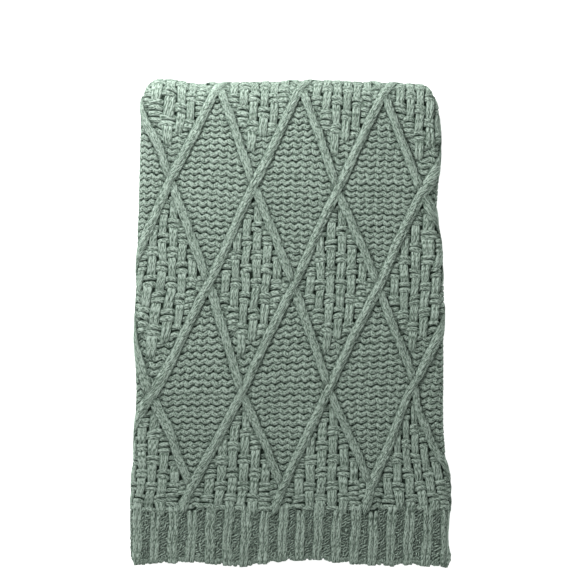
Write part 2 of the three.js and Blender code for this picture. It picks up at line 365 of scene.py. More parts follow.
def strand(
    path, wide, tall, sides, shade, least_painted_light,
    outward=(0.0, 0.0, 1.0), streak=1.0, light=1.0, deepest=0.25, ridged=False
):
    """Tubes of yarn in the flat knit, laid in the pack.

    path is tubes by steps by (across, along, height) in metres. Each ring is a squarish ellipse
    across the path with a flat top, wide in the cloth and tall out of it, with its points a little in
    or out at random, as chenille is. outward is the way that tall runs. Each point gets painted
    shade in the yarn's colour, standing in for how much light reaches it: full on a strand's top,
    down to the least share given for its sides, less the deeper it lies down to the share called
    deepest, and light times that. A larger streak makes the streaks of the yarn that much longer. A
    ridged strand has one of its points on top instead of a flat.
    """
    tangent = np.gradient(path, axis=1)
    tangent /= np.linalg.norm(tangent, axis=-1, keepdims=True)
    side = np.cross(tangent, outward)
    side /= np.linalg.norm(side, axis=-1, keepdims=True)
    up = np.cross(side, tangent)
    angle = math.pi / 2 + math.pi * (2 * np.arange(sides) + (0 if ridged else 1)) / sides
    rough = 1 + YARN_ROUGHNESS * rng.normal(0, 1, (*path.shape[:2], sides)).clip(-2, 2)
    wide = np.broadcast_to(wide, path.shape[:2])[..., None] * rough
    tall = np.broadcast_to(tall, path.shape[:2])[..., None] * rough
    rings = path[:, :, None] + side[:, :, None] * (wide * rounded(np.cos(angle)))[..., None]
    rings = rings + up[:, :, None] * (tall * rounded(np.sin(angle)))[..., None]
    length = np.linalg.norm(np.diff(path, axis=1), axis=-1)
    along = np.concatenate([np.zeros((len(path), 1)), np.cumsum(length, axis=1)], axis=1)
    along = along / streak + STREAK_SHIFT * np.arange(len(path))[:, None]
    points = lay_cloth(rings[..., 0] / DIAMOND, rings[..., 1] / HALF_DIAMOND, rings[..., 2])
    # Painted shade: darker down a strand's sides and the deeper it lies
    painted_side_light = least_painted_light + (1 - least_painted_light) * smooth(np.sin(angle), DARK_SIDE, LIT_SIDE)
    painted_light = painted_side_light * (deepest + (1 - deepest) * smooth(rings[..., 2], DARK_DEPTH, LIT_DEPTH))
    painted_light = painted_light * np.broadcast_to(light, path.shape[:2])[..., None]
    return {"points": points, "along": along, "painted_light": painted_light, "shade": shade}


def tips(steps, share, least=0.35):
    """A tube's thickness along it: full, and round towards both ends over a share of its length."""
    t = np.linspace(0, 1, steps)
    end = np.clip(np.minimum(t, 1 - t) / share, 0, 1)
    return least + (1 - least) * np.sqrt(1 - (1 - end) ** 2)


def yarn_mesh(name, bundles):
    """One mesh of many closed tubes: squares between rings and one face on each end.

    Each point keeps the share of light painted into its colour, as painted shade, and its strand's
    random shade, and the UV map runs in metres along a strand and round it.
    """
    points, painted_light, shades, corners, starts, uvs = [], [], [], [], [], []
    first_point = 0
    first_corner = 0
    for bundle in bundles:
        tubes, steps, sides = bundle["points"].shape[:3]
        if tubes == 0:
            continue
        ids = first_point + np.arange(tubes * steps * sides).reshape(tubes, steps, sides)
        ahead = np.roll(ids, -1, axis=2)
        squares = np.stack([ids[:, :-1], ids[:, 1:], ahead[:, 1:], ahead[:, :-1]], axis=-1).reshape(-1, 4)
        caps = np.concatenate([ids[:, 0], ids[:, -1, ::-1]])
        corners += [squares.ravel(), caps.ravel()]
        starts.append(first_corner + 4 * np.arange(len(squares)))
        first_corner += squares.size
        starts.append(first_corner + sides * np.arange(len(caps)))
        first_corner += caps.size
        u = np.broadcast_to(bundle["along"][:, :, None], ids.shape)
        step = YARN_GIRTH / sides
        v = np.broadcast_to(np.arange(sides) * step, ids.shape)
        u_square = np.stack([u[:, :-1], u[:, 1:], u[:, 1:], u[:, :-1]], axis=-1)
        v_square = np.stack([v[:, :-1], v[:, 1:], v[:, 1:] + step, v[:, :-1] + step], axis=-1)
        uvs.append(np.stack([u_square.ravel(), v_square.ravel()], axis=-1))
        u_cap = np.concatenate([u[:, 0], u[:, -1, ::-1]])
        v_cap = np.concatenate([v[:, 0], v[:, -1, ::-1]])
        uvs.append(np.stack([u_cap.ravel(), v_cap.ravel()], axis=-1))
        points.append(bundle["points"].reshape(-1, 3))
        painted_light.append(bundle["painted_light"].ravel())
        shades.append(np.broadcast_to(bundle["shade"][:, None, None], ids.shape).ravel())
        first_point += ids.size
    return build_mesh(name, points, corners, starts, uvs, painted_light, shades)


def build_mesh(name, points, corners, starts, uvs, painted_light, shades):
    """Puts lists of whole arrays into a new mesh and its object, with smooth faces."""
    points = np.concatenate(points)
    corners = np.concatenate(corners)
    starts = np.concatenate(starts)
    mesh = bpy.data.meshes.new(name)
    mesh.vertices.add(len(points))
    mesh.vertices.foreach_set("co", points.astype(np.float32).ravel())
    mesh.loops.add(len(corners))
    mesh.loops.foreach_set("vertex_index", corners.astype(np.int32))
    mesh.polygons.add(len(starts))
    mesh.polygons.foreach_set("loop_start", starts.astype(np.int32))
    mesh.polygons.foreach_set("use_smooth", np.ones(len(starts), dtype=bool))
    mesh.update(calc_edges=True)
    mesh.uv_layers.new(name="yarn").data.foreach_set("uv", np.concatenate(uvs).astype(np.float32).ravel())
    for label, values in (("painted_light", painted_light), ("shade", shades)):
        layer = mesh.attributes.new(label, "FLOAT", "POINT")
        layer.data.foreach_set("value", np.concatenate(values).astype(np.float32))
    mesh.validate()
    piece = bpy.data.objects.new(name, mesh)
    bpy.context.scene.collection.objects.link(piece)
    return piece


def shades_for(count):
    """A shade for each strand, the middle one being 0."""
    return rng.normal(0, 1, count).clip(-2, 2)


# Where each kind of stitch goes


def visible_wales(course):
    """The wales that carry yarn: from most of the way round the left fold to as far round the right."""
    first, last = side_folds(course)
    turn = math.pi * SEEN_TURN / (column(COURSES, course, DIAMOND_X) * MM)
    return first - turn * LEFT_TURN, last + turn * RIGHT_TURN


def on_face(wale, course):
    """Whether a place carries yarn."""
    lowest, highest = visible_wales(course)
    return (wale > lowest) & (wale < highest)


def in_half(course, half):
    """Whether a course lies in the upper or the lower half of the pack."""
    return course < UPPER_END if half == "upper" else course >= UPPER_END


def diamond_centres(kind):
    """Centres of all the diamonds of a kind: purl ones at whole wales and odd courses, basket ones
    half a wale and one course on."""
    wales, courses = np.meshgrid(np.arange(-1, 6), np.arange(-1, 12, 2), indexing="ij")
    centres = np.stack([wales.ravel(), courses.ravel()], axis=-1).astype(float)
    return centres if kind == "purl" else centres + (0.5, 1.0)


def purl_rows(half):
    """Every purl course between two cables: its count of purls, its diamond's middle wale, its
    course, that course above the diamond's middle, its first and last wale, and 1 where bars hang
    over it. The purl diamonds are full of them, the basket diamonds only at their foot. Below the
    first crossing there are no cables to stop at, so the courses run on a little."""
    rows = []
    for kind, top in (("purl", 1.0), ("basket", PURL_OVERLAP - BASKET_DEPTH)):
        for centre, middle in diamond_centres(kind):
            for row in range(-ROWS_PER_COURSE, ROWS_PER_COURSE):
                course = middle + (row + 0.5) / ROWS_PER_COURSE
                between_ribs = RIB_TOP < course < BACK_RIB_TOP and in_half(course, half)
                if course > middle + top or not between_ribs:
                    continue
                reach = 0.5 * (1 - abs(course - middle)) - (CABLE_GAP if course > 0 else -FOOT_RUN_ON)
                lowest, highest = visible_wales(course)
                low, high = max(centre - reach, lowest), min(centre + reach, highest)
                purls = round((high - low) * PURLS_PER_DIAMOND)
                if purls > 0:
                    under_bars = float(kind == "basket" and course > middle - BARS_END)
                    rows.append((purls, centre, course, course - middle, low, high, under_bars))
    return np.array(rows)


def purl_courses(half, steps_per_purl, sides):
    """The wavy purl courses, one strand for each course and diamond.

    Along a course the strand hangs in scallops, a purl apart: it lies lower and further out as the
    size of the cosine of its phase, and narrows at the points between. Courses with bars over them
    lie deeper. The courses are a little darker all over, with painted shade beside the cables and
    most on the upper tip of a diamond between its cables.
    """
    scallop, rise, centre_height, under_bars_sink = 3.5 * MM, 1.3 * MM, -3.7 * MM, 1.0 * MM
    half_width, lobe_width, half_thickness, point_softness = 2.75 * MM, 0.25 * MM, 2.6 * MM, 0.012
    sway, sway_stitches, tip_start, tip_full, courses_light = 0.2 * MM, 3.3, 0.80, 0.94, 0.92
    rows = purl_rows(half)
    bundles = []
    for purls in np.unique(rows[:, 0]):
        centre, course, above, low, high, under_bars = rows[rows[:, 0] == purls, 1:].T[:, :, None]
        t = np.linspace(0, 1, int(purls) * steps_per_purl + 1)
        wale = low + (high - low) * t
        count = len(wale)
        phase = math.pi * PURLS_PER_DIAMOND * (wale - centre) + jitter(count, 0.12)
        lobe = np.sqrt(np.cos(phase) ** 2 + point_softness)
        along = course * HALF_DIAMOND + scallop * (0.6 - lobe) + jitter(count, 0.15 * MM)
        wobble = sway * np.sin(2 * phase / sway_stitches + rng.uniform(0, 6, (count, 1)))
        height = centre_height + rise * lobe + jitter(count, 0.15 * MM) + 0.5 * wobble
        height = height - under_bars_sink * under_bars
        path = np.stack([wale * DIAMOND, along + wobble, height], axis=-1)
        ends = tips(len(t), 0.05)
        wide, tall = (half_width + lobe_width * lobe) * ends, half_thickness * ends
        # Painted shade: a little all over, beside the cables and most on a diamond's upper tip
        in_tip = smooth(above, tip_start, tip_full) * (course > 0)
        light = courses_light * beside_cables(wale, course) * (1 - TIP_SHADE * in_tip)
        bundles.append(strand(path, wide, tall, sides, shades_for(count), 0.0, streak=0.7, light=light))
    return yarn_mesh(half + "_purl_courses", bundles)


def basket_places():
    """The wale, course and row of every row of every column of the basket diamonds, whether a strand
    lies there, and whether it has a bar.

    Rows 0 and 1 of each five are the cross strands of the column, and rows 2, 3 and 4 are hidden
    under its bar, where the diamond and the ribs leave room for one. Neighbouring columns are half a
    period apart. Strands are laid inside the diamond and not below the basket.
    """
    low_bars, front_gap, back_gap = 0.1, 0.03, 0.04
    centres = diamond_centres("basket")
    columns, rows = np.arange(-5, 5), np.arange(-20, 21)
    grid = np.meshgrid(range(len(centres)), columns, rows, indexing="ij")
    diamond, number, row = (a.ravel() for a in grid)
    middle_wale, middle = centres[diamond].T
    wale = middle_wale + (number + 0.5) * BASKET_COLUMN
    shift = np.where(number % 2 == 0, 0.5, 0.0) * BASKET_PERIOD
    course = middle + shift + (row - BAR_ROW) * BASKET_PERIOD / BASKET_ROWS
    bar_course = course - (row % BASKET_ROWS - BAR_ROW) * BASKET_PERIOD / BASKET_ROWS
    reach = np.abs(wale - middle_wale) / 0.5 + np.abs(course - middle)
    bar_reach = np.abs(wale - middle_wale) / 0.5 + np.abs(bar_course - middle)
    limit = np.where(bar_course < middle - low_bars, LOWER_BAR_REACH, BAR_REACH)
    between_ribs = (bar_course > RIB_TOP - front_gap) & (bar_course < BACK_RIB_TOP - back_gap)
    under_bar = (bar_reach < limit) & between_ribs
    inside = (reach < STRAND_REACH) & (course > middle - BASKET_DEPTH)
    return wale, course, row % BASKET_ROWS, inside, under_bar


def seen(wale, course, half):
    """Whether a place shows: between the turned sides, between the ribs and in this half."""
    between_ribs = (course > RIB_TOP) & (course < BACK_RIB_TOP)
    return on_face(wale, course) & between_ribs & in_half(course, half)


def basket_bars(half, steps, sides):
    """The upright bars of the basket diamonds, two legs side by side.

    A leg rises out of the cloth along a bar and dives at both ends, as the fourth power of the
    distance from the bar's middle. Bars that would reach down into the ribs are short and stand on
    them.
    """
    top, dive, spread, widening = -1.5 * MM, 2.6 * MM, 1.85 * MM, 0.25 * MM
    half_width, half_thickness, reach, short_reach = 2.75 * MM, 2.6 * MM, 11.2 * MM, 7.2 * MM
    wale, course, row, _, under_bar = basket_places()
    short = course < SHORT_BAR_COURSE + 0.01
    course = np.where(short, SHORT_BAR_COURSE, course)
    keep = (row == BAR_ROW) & under_bar & seen(wale, course, half)
    wale, course = wale[keep][:, None], course[keep][:, None]
    half_length = np.where(short[keep], short_reach, reach)[:, None]
    count = len(wale)
    t = np.linspace(-1, 1, steps)
    ends = tips(steps, 0.14, 0.6)
    legs = []
    shift = jitter(count, 0.3 * MM)
    lean = jitter(count, 0.045)
    for side in (-1, 1):
        across = wale * DIAMOND + shift + side * (spread + widening * t) + lean * t * half_length
        along = course * HALF_DIAMOND + t * half_length + jitter(count, 0.4 * MM)
        height = top - dive * t**4 + jitter(count, 0.2 * MM)
        path = np.stack([across, along, height], axis=-1)
        # Painted shade beside the cables, and down each leg's sides
        light = beside_cables(path[..., 0] / DIAMOND, path[..., 1] / HALF_DIAMOND)
        wide, tall = half_width * ends, half_thickness * ends
        legs.append(strand(path, wide, tall, sides, shades_for(count), 0.42, streak=1.6, light=light))
    return yarn_mesh(half + "_basket_bars", legs)


def basket_strands(half, steps, sides):
    """The cross strands of the basket diamonds: low arches across each column, two between bars.

    A strand arches up the cloth as one less the square of the distance from its middle, and dives
    under the neighbouring bars as its cube. Where a column has no bar its strands are flatter and
    shorter, like the purl courses beside them.
    """
    top, dive, half_width, half_thickness = -2.0 * MM, 3.0 * MM, 3.0 * MM, 2.5 * MM
    reach, rise, lone_reach, lone_rise, lone_looseness = 7.4 * MM, 2.8 * MM, 6.6 * MM, 1.0 * MM, 0.6
    wale, course, row, inside, under_bar = basket_places()
    keep = ((row < 2) | ~under_bar) & inside & seen(wale, course, half)
    wale, course, alone = wale[keep][:, None], course[keep][:, None], ~under_bar[keep][:, None]
    count = len(wale)
    t = np.linspace(-1, 1, steps)
    half_length, loose = np.where(alone, lone_reach, reach), np.where(alone, lone_looseness, 1.0)
    arch = np.where(alone, lone_rise, rise) * (1 + loose * rng.uniform(-0.5, 0.4, (count, 1)))
    across = wale * DIAMOND + t * half_length + jitter(count, 0.4 * MM) * loose
    along = course * HALF_DIAMOND + arch * (0.4 - t**2)
    along = along + loose * (jitter(count, 0.12) * t * half_length + jitter(count, 0.35 * MM))
    height = top - dive * np.abs(t) ** 3 + jitter(count, 0.35 * MM)
    path = np.stack([across, along, height], axis=-1)
    # Painted shade beside the cables, and down each strand's sides
    light = beside_cables(path[..., 0] / DIAMOND, path[..., 1] / HALF_DIAMOND)
    ends = tips(steps, 0.3)
    wide, tall = half_width * ends, half_thickness * ends
    bundle = strand(path, wide, tall, sides, shades_for(count), 0.33, light=light)
    return yarn_mesh(half + "_basket_strands", [bundle])


def cable_edges(half):
    """Start places and directions of the cable stretches from crossing to crossing: rising ones up
    to the right, falling ones up to the left, and upright stems between the end crossings and the
    ribs."""
    places = []
    for number in range(-2, 7):
        for course in range(LAST_CABLE_COURSE):
            wale = number + (0.5 if course % 2 else 0.0)
            places += [(wale, course, 0.5), (wale, course, -0.5)]
        places += [(number, -1, 0.0), (number + 0.5, LAST_CABLE_COURSE, 0.0)]
    places = np.array(places, dtype=float)
    return places[in_half(places[:, 1] + 0.5, half)]


def travelling_cables(half, steps, sides):
    """The crossed cables: three chains of long legs side by side, the middle one a little higher.

    Each leg slants a little outward as it rises and dives at both ends, as the cube of the distance
    from its middle. Where two cables cross, both narrow and the falling one sinks under the rising
    one, as a bell curve round the crossing. Beyond the end crossings both become a stem, which leans.
    A rising cable has painted light on its left and painted shade on its right. A falling one has
    painted shade where it comes out from under a rising one.
    """
    half_thickness, dive, side_light = 2.7 * MM, 0.9, 0.07
    bundles = []
    t = np.linspace(0, 1, steps)
    ends = tips(steps, 0.2, 0.5)
    for side, start, leg_lean, stand_out in CHAINS:
        wale0, course0, direction = np.repeat(cable_edges(half), LEGS_PER_EDGE, axis=0).T[:, :, None]
        falling = (direction < 0).astype(int)
        place = (np.arange(LEGS_PER_EDGE) + start) / LEGS_PER_EDGE
        place = np.tile(place, len(wale0) // LEGS_PER_EDGE)[:, None]
        edge_x, edge_y = direction * DIAMOND, HALF_DIAMOND
        edge_length = np.hypot(edge_x, edge_y)
        reach = place + (t - 0.5) * LEG_LENGTH / edge_length
        crossing = np.exp(-((np.minimum(reach % 1, 1 - reach % 1) / CROSSING_REACH) ** 2))
        narrow = 1 - np.take(CROSSING_NARROWS, falling) * crossing
        lean = leg_lean * (np.sign(direction) if side == 0 else side)
        spread = side * np.take(CHAIN_SPREAD, falling)
        out = (spread + lean * (2 * t - 1) + jitter(len(place), 0.2)) * MM * narrow
        across = wale0 * DIAMOND + reach * edge_x + out * edge_y / edge_length
        along = course0 * HALF_DIAMOND + reach * edge_y - out * edge_x / edge_length
        across = across + STEM_LEAN * np.minimum(along, 0)
        arch = stand_out - dive * np.abs(2 * t - 1) ** 3
        sink = np.take(CROSSING_HEIGHT, falling) * crossing
        height = (np.take(CABLE_HEIGHT, falling) + arch + sink + jitter(len(place), 0.15)) * MM
        path = np.stack([across, along, height], axis=-1)
        middle_wale, middle_course = across[:, steps // 2] / DIAMOND, along[:, steps // 2] / HALF_DIAMOND
        keep = on_face(middle_wale, middle_course)
        end_course = np.choose(np.sign(direction[:, 0]).astype(int) + 1, CABLE_ENDS)
        keep &= (middle_course > end_course) & (middle_course < LAST_CABLE_COURSE - end_course)
        wide = np.take(CHAIN_WIDTH, falling) * MM * ends * narrow
        # Painted light and shade: a rising cable lighter on its left and darker on its right, a falling one
        # darker beside a rising one
        light = beside_cables(across / DIAMOND, along / HALF_DIAMOND, (RISING,))
        light = np.where(falling, light, 1 - side_light * side)[keep]
        shade = shades_for(keep.sum())
        # Painted shade down the sides of a leg, less on the middle chain
        least_painted_light = 0.38 if side == 0 else 0.12
        wide, tall = wide[keep], half_thickness * ends
        bundles.append(strand(path[keep], wide, tall, sides, shade, least_painted_light, streak=1.6, light=light))
    return yarn_mesh(half + "_cables", bundles)


def rib_numbers():
    """Numbers of the ribs that can show, counted from wale 0."""
    return np.arange(-2, 25)


def rib_rows(half, first, top, pitch):
    """Places of rows along the ribs of one end of the blanket, from the first one by the cast-on
    edge up to the top."""
    rows = np.arange(first, top - FIRST_COURSE, pitch)
    return FIRST_COURSE + rows if half == "upper" else LAST_COURSE - rows


def rib_columns(half, steps, sides):
    """The raised stitch columns of the ribbed border, each two chains of legs side by side.

    They reach the cast-on edge on the upper half, and stop a little short of it underneath. Every
    other one ends a little lower at the top. A column sways, and its chains part and close, as two
    waves across and along the ribs.
    """
    half_length, half_width, half_thickness = 8.4 * MM, 2.65 * MM, 2.3 * MM
    apart, parting, opening = 2.3 * MM, 0.2 * MM, 0.35 * MM
    top, tilt, dive = -1.7 * MM, 0.2 * MM, 0.45 * MM
    # Where the rows start, and the painted shade down the sides of a leg: deep on the upper half, light
    # underneath
    first, least_painted_light = (0.072, 0.04) if half == "upper" else (0.12, 0.4)
    rows = rib_rows(half, first, RIB_TOP - 0.01, 1 / ROWS_PER_COURSE)
    number, course = (a.ravel() for a in np.meshgrid(rib_numbers(), rows, indexing="ij"))
    wale = number / RIBS_PER_DIAMOND + RIB_SHIFT
    inward = np.minimum(course - FIRST_COURSE, LAST_COURSE - course)
    keep = on_face(wale, course) & ((number % 2 == 0) | (inward < SHORT_RIB))
    wale, course = wale[keep][:, None], course[keep][:, None]
    count = len(wale)
    t = np.linspace(-1, 1, steps)
    ends = tips(steps, 0.2, 0.75)
    sway = 0.6 * MM * np.sin(41.0 * wale + 17.0 * course)
    bundles = []
    for side in (-1, 1):
        spread = side * (apart + parting * np.sin(29.0 * wale - 23.0 * course) + opening * t)
        across = wale * DIAMOND + sway + spread + jitter(count, 0.08 * MM)
        along = course * HALF_DIAMOND + t * half_length + jitter(count, 0.3 * MM)
        height = top - tilt * side - dive * np.abs(t) ** 3 + jitter(count, 0.06 * MM)
        path = np.stack([across, along, height], axis=-1)
        wide, tall = half_width * ends, half_thickness * ends
        shade = shades_for(count)
        bundles.append(strand(path, wide, tall, sides, shade, least_painted_light, streak=1.7, light=0.99))
    return yarn_mesh(half + "_rib_columns", bundles)


def rib_channels(half, pitch, lanes):
    """The sunk stitches between the ribs: short fuzzy strokes, most of them rising to the right.

    A stroke lies lower towards the right of its channel, and has painted shade by the ribs on both
    sides. Its own painted light is well over 1, as the painted shade on its thin sides would make it
    too dark.
    """
    steps, sides = 3, 4
    lane_reach, top, fall, dive = 4.8 * MM, -1.9 * MM, 0.5 * MM, 0.5 * MM
    usual_slant, stroke_light, right_shade, left_shade = 0.8, 2.1, 0.5, 0.3
    rows = rib_rows(half, 0.035 if half == "upper" else 0.09, RIB_TOP + 0.05, pitch)
    numbers, rows, lane = np.meshgrid(rib_numbers(), rows, np.arange(lanes), indexing="ij")
    place = ((lane.ravel() + 0.5) / lanes - 0.5) * 2
    wale = (numbers.ravel() + 0.5) / RIBS_PER_DIAMOND + RIB_SHIFT + place * lane_reach / DIAMOND
    course = rows.ravel() + (lane.ravel() % 2) * pitch / 2
    keep = on_face(wale, course)
    wale, course, place = wale[keep][:, None], course[keep][:, None], place[keep][:, None]
    count = len(wale)
    t = np.linspace(-1, 1, steps)
    slant = usual_slant + jitter(count, 0.5)
    half_length = rng.uniform(1.7, 2.8, (count, 1)) * MM
    across = wale * DIAMOND + t * half_length * np.cos(slant) + jitter(count, 0.4 * MM)
    along = course * HALF_DIAMOND + t * half_length * np.sin(slant) + jitter(count, 0.5 * MM)
    height = top - fall * place - dive * t**2 + jitter(count, 0.4 * MM)
    path = np.stack([across, along, height], axis=-1)
    girth = rng.uniform(0.80, 1.10, (count, 1)) * MM * tips(steps, 0.4, 0.6)
    # Painted light: well over 1 in the middle of a channel, with painted shade beside the ribs
    light = stroke_light - right_shade * smooth(place, 0.5, 0.8) - left_shade * smooth(-place, 0.7, 0.9)
    light = light * rng.normal(1, 0.16, (count, 1)).clip(0.4, 1.6)
    strokes = strand(path, girth, 1.6 * girth, sides, shades_for(count), 0.25, light=light, ridged=True)
    return yarn_mesh(half + "_rib_channels", [strokes])


# The plain cloth under the yarn, and its edges


def cloth_wales(course):
    """Wales across the whole cloth on one course: along the left third from its free edge, round
    the left fold, over the middle third, round the right fold and along the right third."""
    first, last = side_folds(course)
    run, diamond = column(COURSES, course, RUN), column(COURSES, course, DIAMOND_X) * MM
    pack_width = (column(SIDES, run, RIGHT_X) - column(SIDES, run, LEFT_X)) * MM
    left_turn = math.pi * LEFT_TURN / diamond
    right_turn = math.pi * RIGHT_TURN / diamond
    left_third = (pack_width - FREE_EDGE_INSET - LEFT_TURN) / diamond
    right_third = (pack_width - RIGHT_TURN - LEFT_TURN) / diamond
    parts = [
        first - left_turn - left_third * np.linspace(1, 0, 7)[:-1],
        first - left_turn * np.linspace(1, 0, 13)[:-1],
        first + (last - first) * np.linspace(0, 1, 61)[:-1],
        last + right_turn * np.linspace(0, 1, 11)[:-1],
        last + right_turn + right_third * np.linspace(0, 1, 7),
    ]
    return np.concatenate(parts)


def ground_height(wale, course):
    """The cloth's face under the yarn: sunk where yarn covers it, less in the ribs, and full on the
    thirds that are folded under."""
    sunk, less_in_rib, full, fade = 3.0 * MM, 0.6 * MM, 0.3 * MM, 0.05
    lowest, highest = visible_wales(course)
    covered = smooth(wale, lowest - 0.1, lowest) * (1 - smooth(wale, highest, highest + 0.1))
    in_front_rib = 1 - smooth(course, RIB_TOP - fade, RIB_TOP + fade)
    in_back_rib = smooth(course, BACK_RIB_TOP - fade, BACK_RIB_TOP + fade)
    return -(sunk - less_in_rib * (in_front_rib + in_back_rib)) * covered - full


def plain_cloth():
    """The folded cloth under the yarn: a closed sheet, outer and inner face joined at every edge. Its
    painted shade goes by its depth: it is painted dark under the yarn, and less so in the ribs."""
    rows, edge_loop = 190, 0.035
    # Painted light on the inner face, under the yarn, in the ribs and on the thirds folded under
    inner_face, under_yarn, in_ribs, folded_under = 0.75, 0.12, 0.62, 0.9
    courses = np.linspace(FIRST_COURSE + edge_loop, LAST_COURSE - edge_loop, rows)
    wale = np.stack([cloth_wales(c) for c in courses])
    course = np.broadcast_to(courses[:, None], wale.shape)
    outer = ground_height(wale, course)
    inner = np.full(wale.shape, -CLOTH)
    ring_wale = np.concatenate([wale, wale[:, ::-1]], axis=1)
    ring_course = np.concatenate([course, course[:, ::-1]], axis=1)
    ring_height = np.concatenate([outer, inner[:, ::-1]], axis=1)
    points = lay_cloth(ring_wale, ring_course, ring_height)
    ids = np.arange(ring_wale.size).reshape(ring_wale.shape)
    ahead = np.roll(ids, -1, axis=1)
    squares = np.stack([ids[:-1], ahead[:-1], ahead[1:], ids[1:]], axis=-1).reshape(-1, 4)
    wales = wale.shape[1]
    near = ids[:, :wales]
    far = ids[:, wales:][:, ::-1]
    first_cap = np.stack([near[0, :-1], far[0, :-1], far[0, 1:], near[0, 1:]], axis=-1)
    last_cap = np.stack([near[-1, :-1], near[-1, 1:], far[-1, 1:], far[-1, :-1]], axis=-1)
    faces = np.concatenate([squares, first_cap, last_cap])
    uv = np.stack([ring_wale.ravel() * DIAMOND, ring_course.ravel() * HALF_DIAMOND], axis=-1)[faces.ravel()]
    depths = [ring_height < -deep * MM for deep in (5.0, 3.0, 2.0)]
    painted_light = np.select(depths, [inner_face, under_yarn, in_ribs], folded_under).ravel()
    starts = 4 * np.arange(len(faces))
    shade = np.zeros(ids.size)
    return build_mesh(
        "folded_cloth", [points.reshape(-1, 3)], [faces.ravel()], [starts], [uv], [painted_light], [shade]
    )


def cast_on_edges():
    """The loops that bind both cast-on edges: each runs from the face round the edge to the back, as
    a little more than half a circle, with a slight slant. The edge bulges and draws in with the ribs,
    and stands back where it lies under another layer."""
    loops, steps, sides = 290, 7, 6
    inset, depth, loop_reach, loop_height = 4.3 * MM, -4.0 * MM, 2.6 * MM, 2.2 * MM
    slant, bulge, stand_back = 1.6 * MM, 2.2 * MM, 2.5 * MM
    turn = np.linspace(-0.15, 1.15, steps) * math.pi
    bundles = []
    for course, outward in ((FIRST_COURSE, -1), (LAST_COURSE, 1)):
        whole = cloth_wales(course)
        wale = np.linspace(whole[0], whole[-1], loops)[:, None]
        across = wale * DIAMOND + slant * (turn / math.pi - 0.5) + jitter(loops, 0.4 * MM)
        scallop = np.abs(np.sin(26.0 * wale + 1.2 * np.sin(8.0 * wale))) - 0.6
        lobe = bulge * scallop + jitter(loops, 0.2 * MM)
        on_top = on_face(wale, course) & (course < UPPER_END)
        lobe = np.where(on_top, lobe, lobe - stand_back)
        edge = course * HALF_DIAMOND + outward * (lobe - inset)
        along = edge + outward * loop_reach * np.sin(turn)
        height = np.broadcast_to(depth + loop_height * np.cos(turn), along.shape)
        path = np.stack([across, along, height], axis=-1)
        girth = rng.uniform(1.8, 2.3, (loops, 1)) * MM * tips(steps, 0.1)
        shade = shades_for(loops)
        # A little painted shade down the loops' sides and where they lie deep
        bundles.append(strand(path, girth, girth, sides, shade, 0.8, outward=(1.0, 0.0, 0.0), deepest=0.8))
    return yarn_mesh("cast_on_edges", bundles)


def free_edges():
    """The strands along the two long free edges, which lie inside the pack: one by each face of the
    cloth, with a small bump for each stitch."""
    steps, sides, bump, bump_length = 700, 6, 0.16, 9.2 * MM
    courses = np.linspace(FIRST_COURSE, LAST_COURSE, steps)
    wale = np.stack([cloth_wales(c)[[0, -1]] for c in courses], axis=-1)
    course = np.broadcast_to(courses, wale.shape)
    path = np.stack([wale * DIAMOND, course * HALF_DIAMOND, np.zeros_like(wale)], axis=-1)
    length = np.cumsum(np.linalg.norm(np.diff(path, axis=1), axis=-1), axis=1)
    length = np.concatenate([np.zeros((len(wale), 1)), length], axis=1)
    girth = 2.2 * MM * (1 + bump * np.cos(2 * math.pi * length / bump_length))
    bundles = []
    for height in (-2.0 * MM, -5.0 * MM):
        raised = path + (0, 0, height)
        # A little painted shade down the strands' sides and where they lie deep
        bundles.append(strand(raised, girth, girth, sides, shades_for(len(wale)), 0.8, deepest=0.9))
    return yarn_mesh("free_edges", bundles)


# Finish


